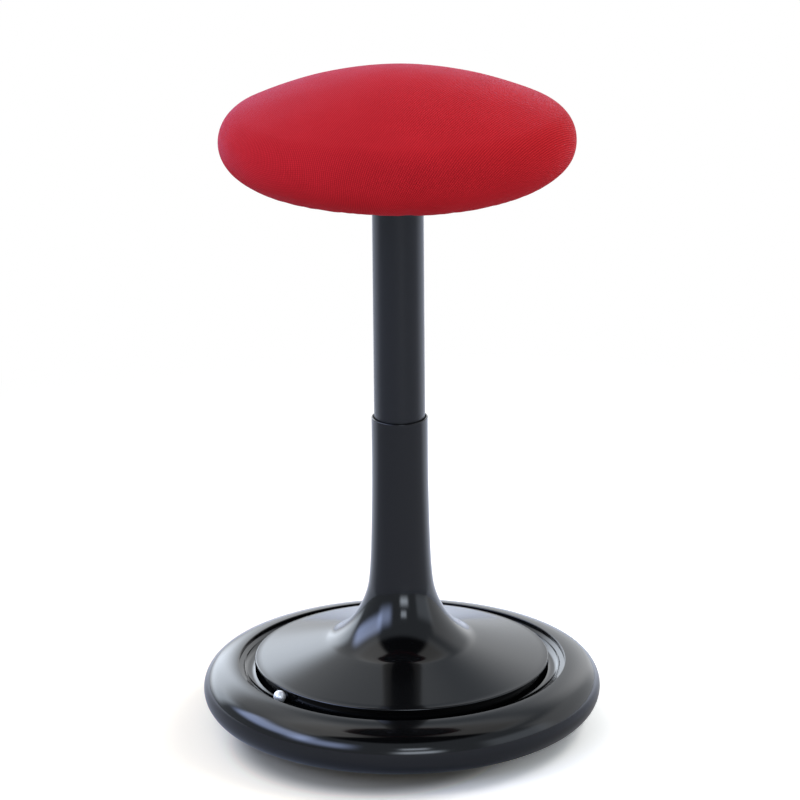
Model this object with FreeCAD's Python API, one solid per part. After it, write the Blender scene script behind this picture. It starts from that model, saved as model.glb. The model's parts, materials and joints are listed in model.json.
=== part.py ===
import FreeCAD
import Part
import math
import os

# A height-adjustable wobble stool, in millimetres, +Z up, standing upright on the flat
# middle of its rounded sole. The origin is the centre of that flat, on the floor.
# The seat is drawn part way up its travel. The release lever points along +Y, to the back.

Vector = FreeCAD.Vector
ORIGIN = Vector(0, 0, 0)
UP = Vector(0, 0, 1)
ALONG_X = Vector(1, 0, 0)

# Clearances between pieces
running_fit = 0.08          # radial, a piece that turns or slides in another
press_gap = 0.05            # pieces pushed together for good
loose_fit = 0.3             # soft or unloaded neighbours
ball_gap = 0.33             # the track's ball below the dome's edge
overcut = 1.0               # how far a cutting solid runs past a face

# Rubber sole
sole_flat_radius = 45.0
sole_inset = 37.0           # the sole's edge inside the ring's foot
sole_rocking_radius = 560.0
sole_thickness = 8.0
groove_radius = 1.2
groove_margin = 14.0        # the outermost groove inside the sole's edge
groove_step = 14.0
groove_count = 5

# Base pan, which carries the sole, the ballast and the ring
pan_wall = 3.0
pan_rim_height = 8.0
pan_pad_radius = 7.0
pan_pad_height = 1.5
pan_margin = 1.0            # flat pan floor outside the sole

# Base ring with the ball track
ring_nose_radius = 22.0
ring_nose_centre_r = 169.4
ring_nose_centre_z = 35.7
ring_shoulder_slope = 24.2  # degrees below level, where the top meets the nose
ring_lip_slope = 5.0        # degrees below level, at the lip
ring_lip_inset = 12.7       # lip inside the nose's centre
ring_lip_rounding = 0.8
ring_lip_width = 2.2        # level top of the lip, down to the track
ring_wall = 3.0
ring_foot_flat = 4.4        # level underside inside the nose
track_section_radius = 9.0
track_inner_share = 7.8     # of the track, inside the circle that the ball rolls on
track_floor_z = 52.0
ball_radius = 6.0
ball_azimuth = 217.4        # degrees, as photographed

# Column and dome, one moulding. Each bend has a radius and an angle, in degrees
rim_z = 306.8
rim_rounding = 0.7
column_radius = 26.75
column_wall = 1.6
column_straight = 34.0
long_bend_radius = 2700.0
long_bend_angle = 2.1
short_bend_radius = 450.0
short_bend_angle = 3.6
flare_radius = 82.0
flare_angle = 48.5
foot_radius = 30.0
foot_angle = 20.8
dome_edge_z = 65.5
dome_edge_height = 2.7
dome_skirt_wall = 2.2
dome_skirt_depth = 12.0
rib_count = 12
rib_thickness = 2.0
rib_depth = 9.0
rib_inner_radius = 58.0
dome_boss_rise = 8.0        # into the dome, above its edge

# Ballast, standpipe and the plug in its foot
ballast_inset = 2.0         # inside the sole's edge
ballast_thickness = 14.0
flange_radius = 52.0
flange_thickness = 6.0
weld_leg = 2.0
standpipe_radius = 21.2
standpipe_wall = 2.0
standpipe_below_rim = 10.0
standpipe_lift = 2.5        # its lower end above the pan
standpipe_lip = 1.7
plug_thickness = 6.0
plug_lift = 4.0             # above the pan

# Thrust bearing under the gas spring's rod
rod_radius = 5.0
rod_end_radius = 4.0
rod_end_lift = 1.0
race_thickness = 2.0
race_radius = 13.5
lower_race_bore = 5.4
bearing_ball_radius = 2.0
bearing_pitch_radius = 9.4
bearing_ball_count = 10
cage_thickness = 2.0
cage_margin = 1.1
clip_thickness = 1.0
clip_radius = 7.0
clip_groove = 0.8
clip_washer_radius = 8.0
clip_washer_thickness = 0.8
clip_play = 0.1

# Gas spring
bump_height = 8.0
bump_radius = 11.5
bump_waist = 1.5
piston_height = 18.0
piston_groove = 2.4
piston_groove_depth = 1.6
piston_chamfer = 1.0
piston_spare = 6.0          # rod travel left above the upper stop
cylinder_radius = 14.0
cylinder_wall = 1.75
cylinder_lip = 1.2
gland_height = 14.0
taper_length = 38.0
taper_drop = 0.9            # radius lost along the taper
cylinder_head = 50.0        # solid valve end, taper included
valve_pin_radius = 4.0
valve_pin_length = 19.0
valve_pin_proud = 4.0
valve_pin_dome = 8.0
valve_pin_room = 4.0

# Travel of the seat from the height drawn
travel_down = 155.0
travel_up = 25.0
stop_gap = 1.0

# Upper tube, its slider below and the guide bush in the standpipe
tube_radius = 24.15
tube_wall = 2.0
tube_floor_gap = 5.0
slider_length = 25.0
slider_flange = 2.0
guide_length = 34.0
guide_cap = 3.0

# Cushion: crown, flank, rolled rim and underside. Each has a radius and an angle, in degrees
seat_height = 641.8
crown_radius = 237.0
crown_angle = 7.9
flank_radius = 406.0
flank_angle = 17.0
rolled_rim_radius = 32.2
rolled_rim_angle = 113.2
underside_radius = 60.0
underside_angle = 41.9
cover_thickness = 1.2
board_radius = 112.0
board_thickness = 12.0
board_rounding = 3.0
hem_width = 20.0            # of cover folded under the board
trim_thickness = 2.0
trim_inset = 4.0            # inside the board's edge

# Seat plate with its hub, and the collar that centres the tube
plate_radius = 75.0
plate_thickness = 3.0
plate_rib_height = 3.0
plate_rib_radius = 62.0
plate_rib_count = 8
hub_radius = 19.0
hub_chamber = 16.0          # room for the lever above the cylinder
chamber_radius = 15.5
slot_clearance = 1.5
collar_skirt = 20.0
collar_flange = 3.0
collar_flange_radius = 25.0
collar_below_plate = 21.0

# Release lever
pivot_y = 31.0
pivot_pin_radius = 2.5
pivot_head_radius = 3.8
pivot_head_height = 1.2
ear_thickness = 3.0
ear_radius = 6.5
lever_width = 10.0
lever_thickness = 4.0
lever_boss_radius = 5.5
lever_nose_y = -5.0
lever_knee_y = 42.0
lever_elbow_y = 70.0
lever_end_y = 140.0
lever_drop = 12.0
lever_tip_gap = 0.3
grip_start_y = 104.0
grip_length = 50.0
grip_width = 34.0
grip_neck_width = 16.0
grip_thickness = 9.0
grip_edge = 3.0
grip_taper_share = 0.35     # of its length
grip_crest_share = 0.35     # of its half width

# Fasteners: head radius, head height, shank radius, shank length
pan_screw = (5.5, 2.6, 3.0, 12.0)
pan_screw_inset = 26.0      # inside the ballast's edge
pan_screw_count = 4
column_screw = (4.5, 4.0, 2.5, 30.0)
column_screw_inset = 14.0   # inside the ballast's edge
column_screw_count = 4
ring_screw = (4.0, 2.5, 2.0, 22.0)
ring_screw_count = 6
flange_bolt = (6.5, 5.5, 4.0, 15.0)
flange_bolt_count = 4
plate_screw = (5.5, 3.3, 3.0, 14.0)
plate_screw_inset = 25.0    # inside the plate's edge
plate_screw_count = 4
trim_screw = (3.5, 1.4, 1.5, 9.0)
trim_screw_count = 8
boss_wall = 3.0
boss_bury = 1.5             # into the wall that a boss ends on
socket_share = 0.5          # of a head's radius
socket_depth_share = 0.6    # of a head's height
nut_flange_radius = 9.0
nut_flange_thickness = 1.2
nut_barrel_radius = 4.2
nut_barrel_length = 8.5


class Path:
    """A line of straight runs and tangent arcs in the R-Z plane, with headings in degrees."""

    def __init__(self, r, z, heading=0.0):
        self.r, self.z, self.heading = r, z, heading
        self.edges = []

    def to(self, r, z):
        if math.hypot(r - self.r, z - self.z) > 1e-7:
            self.edges.append(line((self.r, self.z), (r, z)))
            self.heading = math.degrees(math.atan2(z - self.z, r - self.r))
        self.r, self.z = r, z
        return self

    def face(self, heading):
        self.heading = heading
        return self

    def run(self, length):
        a = math.radians(self.heading)
        return self.to(self.r + length * math.cos(a), self.z + length * math.sin(a))

    def turn(self, radius, angle):
        """Turns left through a positive angle and right through a negative one."""
        side = self.heading + math.copysign(90.0, angle)
        centre = around((self.r, self.z), radius, side)
        self.edges.append(arc(centre, radius, side + 180.0, side + 180.0 + angle))
        self.r, self.z = around(centre, radius, side + 180.0 + angle)
        self.heading += angle
        return self

    def bend_to(self, r, z):
        """One arc, tangent to the heading, that ends at a point."""
        radius, angle = bend((self.r, self.z), self.heading, (r, z))
        return self.turn(radius, angle)

    def spin(self):
        """The solid that the outline, closed straight back to its start, sweeps about the axis."""
        first = self.edges[0].valueAt(self.edges[0].FirstParameter)
        self.to(first.x, first.z)
        return Part.Face(Part.Wire(self.edges)).revolve(ORIGIN, UP, 360)


def bend(start, heading, end):
    dr, dz = end[0] - start[0], end[1] - start[1]
    half = math.degrees(math.atan2(dz, dr)) - heading
    return math.hypot(dr, dz) / (2 * abs(math.sin(math.radians(half)))), 2 * half


def at(point):
    return Vector(point[0], 0, point[1])


def line(p, q):
    return Part.LineSegment(at(p), at(q)).toShape()


def around(centre, radius, angle):
    a = math.radians(angle)
    return centre[0] + radius * math.cos(a), centre[1] + radius * math.sin(a)


def arc(centre, radius, start, end):
    three = [around(centre, radius, start + (end - start) * k / 2) for k in range(3)]
    return Part.Arc(*[at(p) for p in three]).toShape()


def disc(radius, low, high, bore=0.0):
    solid = Part.makeCylinder(radius, high - low, Vector(0, 0, low))
    if bore > 0:
        solid = solid.cut(Part.makeCylinder(bore, high - low, Vector(0, 0, low)))
    return solid


def places(circle):
    """Evenly spaced places: a radius, a count and the first one's share of a step past +X."""
    radius, count, share = circle
    return [around((0.0, 0.0), radius, 360.0 * (k + share) / count) for k in range(count)]


def pins(circle, radius, low, high):
    """Upright cylinders on a circle of places."""
    return [Part.makeCylinder(radius, high - low, Vector(x, y, low)) for x, y in places(circle)]


def screws(size, circle, head_z, side):
    """Equal screws whose heads end at head_z. side is 1 when the shank points up, -1 down."""
    head_r, head_h, shank_r, shank_l = size
    group = []
    for x, y in places(circle):
        foot = Vector(x, y, head_z)
        away = Vector(0, 0, -side)
        head = Part.makeCylinder(head_r, head_h, foot, away)
        shank = Part.makeCylinder(shank_r, shank_l, foot, -away)
        deep = head_h * socket_depth_share
        socket = Part.makeCylinder(head_r * socket_share, deep, foot + away * (head_h - deep), away)
        group.append(head.fuse(shank).cut(socket).removeSplitter())
    return Part.makeCompound(group)


def one(solid):
    """The single solid of a boolean's result, with its split faces joined."""
    return solid.removeSplitter().Solids[0]


def round_edges(solid, radius, chosen):
    return solid.makeFillet(radius, [e for e in solid.Edges if chosen(e)])


def top_rim(edge, height, bore):
    """True for the outer circle of a face at a height."""
    box = edge.BoundBox
    return box.ZMin > height - press_gap and box.XMax - box.XMin > 2 * bore + overcut


# Heights and radii that follow from the sizes above
pan_floor_z = sole_thickness + pan_wall
ring_foot_radius = ring_nose_centre_r - ring_foot_flat
sole_radius = ring_foot_radius - sole_inset
ring_foot_z = ring_nose_centre_z - ring_nose_radius
ring_lip_radius = ring_nose_centre_r - ring_lip_inset
track_radius = ring_lip_radius - ring_lip_width - track_section_radius
track_inner_radius = track_radius - track_inner_share
track_z = track_floor_z + track_section_radius
ball_z = track_floor_z + ball_radius + press_gap
ball_under_edge = dome_edge_z - dome_edge_height - ball_z
ball_half_width = math.sqrt(max(ball_radius**2 - ball_under_edge**2, 0.0))
dome_edge_radius = track_radius - ball_half_width - ball_gap
ballast_radius = sole_radius - ballast_inset
pan_rim_radius = ring_foot_radius - loose_fit
pan_rim_bottom = ring_foot_z + loose_fit
pan_rim_top = pan_rim_bottom + pan_wall + pan_rim_height
pad_top = pan_rim_bottom + pan_wall + pan_pad_height
ballast_top = pan_floor_z + ballast_thickness
column_head_z = pan_floor_z + loose_fit + column_screw[1]
flange_top = ballast_top + flange_thickness
standpipe_bottom = pan_floor_z + standpipe_lift
standpipe_top = rim_z - standpipe_below_rim
standpipe_bore = standpipe_radius - standpipe_wall
plug_bottom = pan_floor_z + plug_lift
plug_top = plug_bottom + plug_thickness
lower_race_top = plug_top + race_thickness
cage_middle = lower_race_top + press_gap + bearing_ball_radius
upper_race_bottom = cage_middle + bearing_ball_radius + press_gap
shoulder_z = upper_race_bottom + race_thickness
bump_top = shoulder_z + bump_height
cylinder_bottom = bump_top + stop_gap + travel_down
cylinder_bore = cylinder_radius - cylinder_wall
piston_radius = cylinder_bore - running_fit
piston_bottom = cylinder_bottom + gland_height + travel_up + piston_spare
piston_top = piston_bottom + piston_height
tube_bore = tube_radius - tube_wall
tube_bottom = flange_top + tube_floor_gap + travel_down
hem_inner_radius = board_radius - hem_width
trim_radius = board_radius - trim_inset

# Circles of fasteners
pan_screw_circle = (ballast_radius - pan_screw_inset, pan_screw_count, 0.0)
column_screw_circle = (ballast_radius - column_screw_inset, column_screw_count, 0.5)
ring_screw_circle = (track_radius, ring_screw_count, 0.5)
flange_bolt_circle = ((flange_radius + standpipe_radius + weld_leg) / 2, flange_bolt_count, 0.5)
plate_screw_circle = (plate_radius - plate_screw_inset, plate_screw_count, 0.5)
trim_screw_circle = ((hem_inner_radius + trim_radius) / 2, trim_screw_count, 0.5)

# Bends in the order that their outlines take them
column_bends = (
    (long_bend_radius, long_bend_angle),
    (short_bend_radius, short_bend_angle),
    (flare_radius, flare_angle),
    (foot_radius, foot_angle),
)
cushion_bends = (
    (crown_radius, crown_angle),
    (flank_radius, flank_angle),
    (rolled_rim_radius, rolled_rim_angle),
    (underside_radius, underside_angle),
)


def cushion_path(inset):
    """The cushion's section from the crown's middle to its flat underneath, set in by inset."""
    path = Path(0.0, seat_height - inset)
    for radius, angle in cushion_bends:
        path.turn(radius - inset, -angle)
    return path


def cushion_solid(inset):
    path = cushion_path(inset)
    return path.to(0.0, path.z).spin()


cushion_bottom = cushion_path(0.0).z
board_bottom = cushion_bottom + cover_thickness + press_gap
board_top = board_bottom + board_thickness
plate_bottom = board_bottom - plate_thickness
trim_bottom = cushion_bottom - trim_thickness
cylinder_top = plate_bottom - hub_chamber
pin_tip = cylinder_top + valve_pin_proud
taper_start = cylinder_top - taper_length
pivot_z = pin_tip + lever_tip_gap + lever_thickness / 2
collar_top = plate_bottom - collar_below_plate
tube_top = collar_top - collar_flange


def rubber_sole():
    """Flat in the middle, then a wide curve that the stool rocks on, with rings of grip grooves."""
    reach = sole_radius - sole_flat_radius
    path = Path(0.0, 0.0).to(sole_flat_radius, 0.0)
    path.turn(sole_rocking_radius, math.degrees(math.asin(reach / sole_rocking_radius)))
    sole = path.to(sole_radius, sole_thickness).to(0.0, sole_thickness).spin()
    grooves = []
    for k in range(groove_count):
        r = sole_radius - groove_margin - k * groove_step
        rise = sole_rocking_radius - math.sqrt(sole_rocking_radius**2 - (r - sole_flat_radius) ** 2)
        grooves.append(Part.makeTorus(r, groove_radius, Vector(0, 0, rise)))
    return one(sole.cut(grooves))


def base_pan():
    """A shallow tray: flat over the sole, rising to a rim inside the ring's foot."""
    bend_r = sole_radius + pan_margin
    inside = pan_rim_radius - pan_wall
    path = Path(0.0, sole_thickness).to(bend_r, sole_thickness).to(inside, pan_rim_bottom)
    path.to(pan_rim_radius, pan_rim_bottom).to(pan_rim_radius, pan_rim_top).to(inside, pan_rim_top)
    path.to(inside, pan_rim_bottom + pan_wall).to(bend_r, pan_floor_z).to(0.0, pan_floor_z)
    pan = path.spin()
    pan = pan.fuse(pins(ring_screw_circle, pan_pad_radius, pan_floor_z, pad_top))
    cuts = pins(ring_screw_circle, ring_screw[0] + loose_fit, 0.0, pad_top - ring_screw[1])
    cuts += pins(ring_screw_circle, ring_screw[2] + press_gap, 0.0, pad_top)
    cuts += pins(pan_screw_circle, pan_screw[0] + loose_fit, 0.0, sole_thickness + pan_screw[1])
    cuts += pins(pan_screw_circle, pan_screw[2] + press_gap, 0.0, pan_floor_z)
    return one(pan.cut(cuts))


def ballast_plate():
    solid = disc(ballast_radius, pan_floor_z, ballast_top, standpipe_radius + loose_fit)
    cuts = pins(column_screw_circle, column_screw[0] + loose_fit, pan_floor_z, column_head_z)
    cuts += pins(column_screw_circle, column_screw[2] + press_gap, column_head_z, ballast_top)
    reach = sole_thickness + pan_screw[1] + pan_screw[3]
    cuts += pins(pan_screw_circle, pan_screw[2] + press_gap, pan_floor_z, reach + loose_fit)
    bolt_end = flange_top - flange_bolt[3]
    cuts += pins(flange_bolt_circle, flange_bolt[2] + press_gap, bolt_end - loose_fit, ballast_top)
    return one(solid.cut(cuts))


def ring_outline(wall):
    """The ring's outside from foot to lip, or with wall its inside."""
    nose = ring_nose_radius - wall
    shoulder_turn = ring_shoulder_slope - ring_lip_slope
    corner = around((ring_nose_centre_r, ring_nose_centre_z), ring_nose_radius, 90.0 - ring_shoulder_slope)
    across = math.sin(math.radians(ring_shoulder_slope)) - math.sin(math.radians(ring_lip_slope))
    shoulder = (corner[0] - ring_lip_radius) / across
    path = Path(ring_foot_radius, ring_foot_z + wall).to(ring_nose_centre_r, ring_foot_z + wall)
    path.turn(nose, 180.0 - ring_shoulder_slope)
    return path.turn(shoulder - wall, shoulder_turn)


def base_ring():
    """A hollow ring moulding with the ball track inside its lip and screw bosses below the track."""
    outside = ring_outline(0.0)
    lip_z = outside.z
    outside.turn(ring_lip_rounding, 90.0 + ring_lip_slope)
    outside.to(outside.r, track_z).to(track_inner_radius, track_z)
    outside.to(track_inner_radius, ring_foot_z).to(ring_foot_radius, ring_foot_z)
    solid = outside.spin()
    solid = solid.cut(Part.makeTorus(track_radius, track_section_radius, Vector(0, 0, track_z)))
    inside = ring_outline(ring_wall)
    inside.to(track_inner_radius, inside.z).to(track_inner_radius, ring_foot_z - overcut)
    inside.to(ring_foot_radius, ring_foot_z - overcut)
    hollow = inside.spin()
    under_track = track_section_radius + ring_wall
    race_wall = Part.makeTorus(track_radius, under_track, Vector(0, 0, track_z))
    above = disc(track_radius + under_track, track_z, lip_z + overcut, track_inner_radius - under_track)
    hollow = hollow.cut([race_wall, above])
    solid = solid.cut(hollow)
    boss_top = track_floor_z - ring_wall + boss_bury
    solid = solid.fuse(pins(ring_screw_circle, ring_screw[2] + boss_wall, pad_top, boss_top))
    screw_end = pad_top - ring_screw[1] + ring_screw[3]
    solid = solid.cut(pins(ring_screw_circle, ring_screw[2] + press_gap, pad_top, screw_end + loose_fit))
    return one(solid)


def flare(path, wall):
    """Carries a path down the column's bends to the dome, wall inside the outer face."""
    for radius, angle in column_bends:
        path.turn(radius + wall, angle)
    return path


def dome_bend():
    """Radius and angle of the dome, tangent to the flare's foot and ending on its edge."""
    foot = flare(Path(column_radius, rim_z, -90.0).run(column_straight), 0.0)
    edge = dome_edge_radius - dome_edge_height / 2
    return bend((foot.r, foot.z), foot.heading, (edge, dome_edge_z))


def column_under(depth):
    """All that lies under the moulding's upper face, down to a depth."""
    path = Path(0.0, rim_z).to(column_radius - rim_rounding, rim_z).face(0.0)
    path.turn(rim_rounding, -90.0).run(column_straight - rim_rounding)
    flare(path, 0.0).turn(*dome_bend())
    path.face(0.0).turn(dome_edge_height / 2, -180.0)
    return path.to(path.r, depth).to(0.0, depth).spin()


def column_cover():
    """The gloss column, its flare and the dome over the ball track, one thin moulding."""
    low = dome_edge_z - dome_edge_height
    shell = column_under(low)
    radius, angle = dome_bend()
    inside = flare(Path(column_radius - column_wall, rim_z, -90.0).run(column_straight), column_wall)
    inside.turn(radius - column_wall, angle)
    skirt_r = track_inner_radius - loose_fit
    skirt_in = skirt_r - dome_skirt_wall
    skirt_top = inside.z
    inside.to(inside.r, low - overcut).to(0.0, low - overcut).to(0.0, rim_z)
    shell = shell.cut(inside.spin().common(disc(skirt_in, low - overcut, rim_z)))
    shell = shell.fuse(disc(skirt_r, low - dome_skirt_depth, skirt_top, skirt_in))
    below = column_under(ballast_top)
    boss_top = dome_edge_z + dome_boss_rise
    boss = pins(column_screw_circle, column_screw[2] + boss_wall, ballast_top, boss_top)
    shell = shell.fuse([b.common(below) for b in boss] + column_ribs(skirt_in, below))
    screw_end = column_head_z + column_screw[3] + loose_fit
    return one(shell.cut(pins(column_screw_circle, column_screw[2] + press_gap, ballast_top, screw_end)))


def column_ribs(reach, below):
    """Radial stiffening ribs under the dome."""
    ribs = []
    low = dome_edge_z - rib_depth
    for k in range(rib_count):
        corner = Vector(rib_inner_radius, -rib_thickness / 2, low)
        blade = Part.makeBox(reach - rib_inner_radius, rib_thickness, rim_z, corner)
        blade.rotate(ORIGIN, UP, 360.0 * k / rib_count)
        ribs.append(blade.common(below))
    return ribs


def standpipe():
    """The fixed outer tube of the column, welded through its flange."""
    bore = standpipe_bore
    path = Path(bore - standpipe_lip, standpipe_bottom).to(standpipe_radius, standpipe_bottom)
    path.to(standpipe_radius, ballast_top).to(flange_radius, ballast_top).to(flange_radius, flange_top)
    path.to(standpipe_radius + weld_leg, flange_top).to(standpipe_radius, flange_top + weld_leg)
    path.to(standpipe_radius, standpipe_top).to(bore, standpipe_top).to(bore, plug_bottom)
    pipe = path.to(bore - standpipe_lip, plug_bottom).spin()
    return one(pipe.cut(pins(flange_bolt_circle, flange_bolt[2] + press_gap, ballast_top, flange_top)))


def bottom_plug():
    return disc(standpipe_bore - press_gap, plug_bottom, plug_top, rod_end_radius + running_fit)


def guide_bush():
    """The plastic bush that guides the gas spring in the standpipe's top."""
    bore = cylinder_radius + running_fit
    body = disc(standpipe_bore - press_gap, standpipe_top - guide_length, standpipe_top, bore)
    cap = disc(standpipe_radius, standpipe_top, standpipe_top + guide_cap, bore)
    bush = one(body.fuse(cap))
    top = standpipe_top + guide_cap
    return round_edges(bush, guide_cap / 3, lambda e: top_rim(e, top, bore))


def bearing_cage():
    inner = bearing_pitch_radius - bearing_ball_radius - cage_margin
    outer = bearing_pitch_radius + bearing_ball_radius + cage_margin
    low = cage_middle - cage_thickness / 2
    ring = disc(outer, low, low + cage_thickness, inner)
    circle = (bearing_pitch_radius, bearing_ball_count, 0.0)
    return one(ring.cut(pins(circle, bearing_ball_radius + running_fit, low, low + cage_thickness)))


def bearing_balls():
    circle = (bearing_pitch_radius, bearing_ball_count, 0.0)
    balls = [Part.makeSphere(bearing_ball_radius, Vector(x, y, cage_middle)) for x, y in places(circle)]
    return Part.makeCompound(balls)


clip_top = plug_bottom - clip_play - clip_washer_thickness


def piston_rod():
    """The rod, with a thinner end that stands in the bearing and a groove for its clip."""
    groove_r = rod_end_radius - clip_groove
    path = Path(0.0, pan_floor_z + rod_end_lift).to(rod_end_radius, pan_floor_z + rod_end_lift)
    path.to(rod_end_radius, clip_top - clip_thickness).to(groove_r, clip_top - clip_thickness)
    path.to(groove_r, clip_top).to(rod_end_radius, clip_top).to(rod_end_radius, shoulder_z)
    path.to(rod_radius, shoulder_z).to(rod_radius, piston_bottom).to(rod_end_radius, piston_bottom)
    return path.to(rod_end_radius, piston_top).to(0.0, piston_top).spin()


def rod_clip():
    """An open retaining ring in the rod's groove."""
    ring = disc(clip_radius, clip_top - clip_thickness, clip_top, rod_end_radius - clip_groove + press_gap)
    mouth = Part.makeBox(2 * clip_radius, rod_end_radius, rim_z, Vector(0, -rod_end_radius / 2, 0))
    return one(ring.cut(mouth))


def clip_washer():
    return disc(clip_washer_radius, clip_top, clip_top + clip_washer_thickness, rod_end_radius + press_gap)


def piston():
    """The piston, with one groove for its seal."""
    r = piston_radius
    middle = (piston_bottom + piston_top) / 2
    groove = r - piston_groove_depth
    bore = rod_end_radius + press_gap
    edge = r - piston_chamfer
    path = Path(bore, piston_bottom).to(edge, piston_bottom).to(r, piston_bottom + piston_chamfer)
    path.to(r, middle - piston_groove / 2).to(groove, middle - piston_groove / 2)
    path.to(groove, middle + piston_groove / 2).to(r, middle + piston_groove / 2)
    return path.to(r, piston_top - piston_chamfer).to(edge, piston_top).to(bore, piston_top).spin()


def bump_stop():
    """A waisted rubber ring on the rod."""
    bore = rod_radius + press_gap
    waist = bump_radius - bump_waist
    middle = (shoulder_z + bump_top) / 2
    path = Path(bore, shoulder_z + press_gap).to(bump_radius, shoulder_z + press_gap)
    return path.to(waist, middle).to(bump_radius, bump_top).to(bore, bump_top).spin()


def gas_cylinder():
    """The gas spring's cylinder, with a solid tapered valve end on top."""
    bore = cylinder_bore
    head = cylinder_top - cylinder_head
    pin_bore = valve_pin_radius + running_fit
    pin_floor = pin_tip - valve_pin_length - valve_pin_room
    path = Path(bore - cylinder_lip, cylinder_bottom).to(cylinder_radius, cylinder_bottom)
    path.to(cylinder_radius, taper_start).to(cylinder_radius - taper_drop, cylinder_top)
    path.to(pin_bore, cylinder_top).to(pin_bore, pin_floor).to(0.0, pin_floor).to(0.0, head)
    path.to(bore, head).to(bore, cylinder_bottom + cylinder_lip)
    return path.to(bore - cylinder_lip, cylinder_bottom + cylinder_lip).spin()


def cylinder_gland():
    low = cylinder_bottom + cylinder_lip
    return disc(cylinder_bore - press_gap, low, cylinder_bottom + gland_height, rod_radius + running_fit)


def valve_pin():
    low = pin_tip - valve_pin_length
    pin = disc(valve_pin_radius, low, pin_tip)
    dome = Part.makeSphere(valve_pin_dome, Vector(0, 0, pin_tip - valve_pin_dome))
    return one(pin.common(dome.fuse(disc(valve_pin_radius, low, pin_tip - valve_pin_dome / 2))))


def tube_slider():
    """The plastic liner that runs on the standpipe inside the tube's lower end."""
    bore = standpipe_radius + running_fit
    liner = disc(tube_bore - press_gap, tube_bottom - slider_flange, tube_bottom + slider_length, bore)
    return one(liner.fuse(disc(tube_radius, tube_bottom - slider_flange, tube_bottom, bore)))


def tube_collar():
    """The plastic ring that centres the tube's top on the hub."""
    bore = hub_radius + press_gap
    skirt = disc(tube_bore - press_gap, tube_top - collar_skirt, tube_top, bore)
    collar = one(skirt.fuse(disc(collar_flange_radius, tube_top, collar_top, bore)))
    return round_edges(collar, collar_flange / 3, lambda e: top_rim(e, collar_top, bore))


def seat_plate():
    """A pressed round plate with radial ribs, its welded hub and the lever's two ears."""
    top = board_bottom
    plate = disc(plate_radius, plate_bottom, top)
    hub_low = taper_start
    socket = cylinder_radius + press_gap
    path = Path(socket, hub_low).to(hub_radius, hub_low).to(hub_radius, plate_bottom)
    path.to(chamber_radius, plate_bottom).to(chamber_radius, cylinder_top)
    path.to(socket - taper_drop, cylinder_top)
    hub = path.spin()
    slot_w = lever_width + 2 * slot_clearance
    slot_low = cylinder_top + slot_clearance
    slot = Part.makeBox(slot_w, pivot_y, plate_bottom - slot_low, Vector(-slot_w / 2, 0, slot_low))
    hub = hub.cut(slot)
    screw_holes = pins(plate_screw_circle, plate_screw[2] + press_gap, plate_bottom, top)
    solid = plate.fuse([hub] + lever_ears() + plate_ribs()).cut(screw_holes)
    return one(solid)


def plate_ribs():
    ribs = []
    length = plate_rib_radius - hub_radius
    start = Vector(hub_radius - overcut, 0, plate_bottom)
    for k in range(plate_rib_count):
        rib = Part.makeCylinder(plate_rib_height, length, start, ALONG_X)
        rib.rotate(ORIGIN, UP, 360.0 * (k + 0.5) / plate_rib_count)
        ribs.append(rib.common(disc(plate_radius, plate_bottom - plate_rib_height, plate_bottom)))
    return ribs


def across(radius, x, length):
    """A cylinder along X about the lever's pivot."""
    return Part.makeCylinder(radius, length, Vector(x, pivot_y, pivot_z), ALONG_X)


def lever_ears():
    """Two lugs under the plate, bored for the pivot pin."""
    ears = []
    inner = lever_width / 2 + loose_fit
    for side in (1, -1):
        x = inner if side > 0 else -inner - ear_thickness
        corner = Vector(x, pivot_y - ear_radius, pivot_z)
        flat = Part.makeBox(ear_thickness, 2 * ear_radius, plate_bottom - pivot_z, corner)
        eye = across(ear_radius, x, ear_thickness)
        ears.append(flat.fuse(eye).cut(across(pivot_pin_radius + press_gap, x, ear_thickness)))
    return ears


def lever_pivot_pin():
    """A headed pin through both ears and the lever."""
    reach = lever_width / 2 + loose_fit + ear_thickness + press_gap
    shank = across(pivot_pin_radius, -reach, 2 * reach + pivot_head_height)
    head = across(pivot_head_radius, -reach - pivot_head_height, pivot_head_height)
    return one(shank.fuse([head, across(pivot_head_radius, reach, pivot_head_height)]))


def strip(points, thickness):
    """A bent flat bar's side outline: a line of (y, z) points given thickness about itself."""
    sides = []
    for side in (0.5, -0.5):
        row = []
        for k, (y, z) in enumerate(points):
            before = points[max(k - 1, 0)]
            after = points[min(k + 1, len(points) - 1)]
            start = math.atan2(z - before[1], y - before[0]) if k > 0 else None
            end = math.atan2(after[1] - z, after[0] - y) if k < len(points) - 1 else None
            start = end if start is None else start
            end = start if end is None else end
            middle = (start + end) / 2
            away = side * thickness / math.cos((end - start) / 2)
            row.append((y - away * math.sin(middle), z + away * math.cos(middle)))
        sides.append(row)
    return sides[0] + sides[1][::-1]


def release_lever():
    """A bent steel bar: its nose over the valve pin, its eye on the pivot, its tail in the grip."""
    low = pivot_z - lever_drop
    route = [(lever_nose_y, pivot_z), (lever_knee_y, pivot_z), (lever_elbow_y, low), (lever_end_y, low)]
    corners = [Vector(-lever_width / 2, y, z) for y, z in strip(route, lever_thickness)]
    side = Part.Face(Part.makePolygon(corners + corners[:1]))
    bar = side.extrude(Vector(lever_width, 0, 0))
    eye = across(lever_boss_radius, -lever_width / 2, lever_width)
    hole = across(pivot_pin_radius + running_fit, -lever_width / 2, lever_width)
    return one(bar.fuse(eye).cut(hole))


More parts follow.
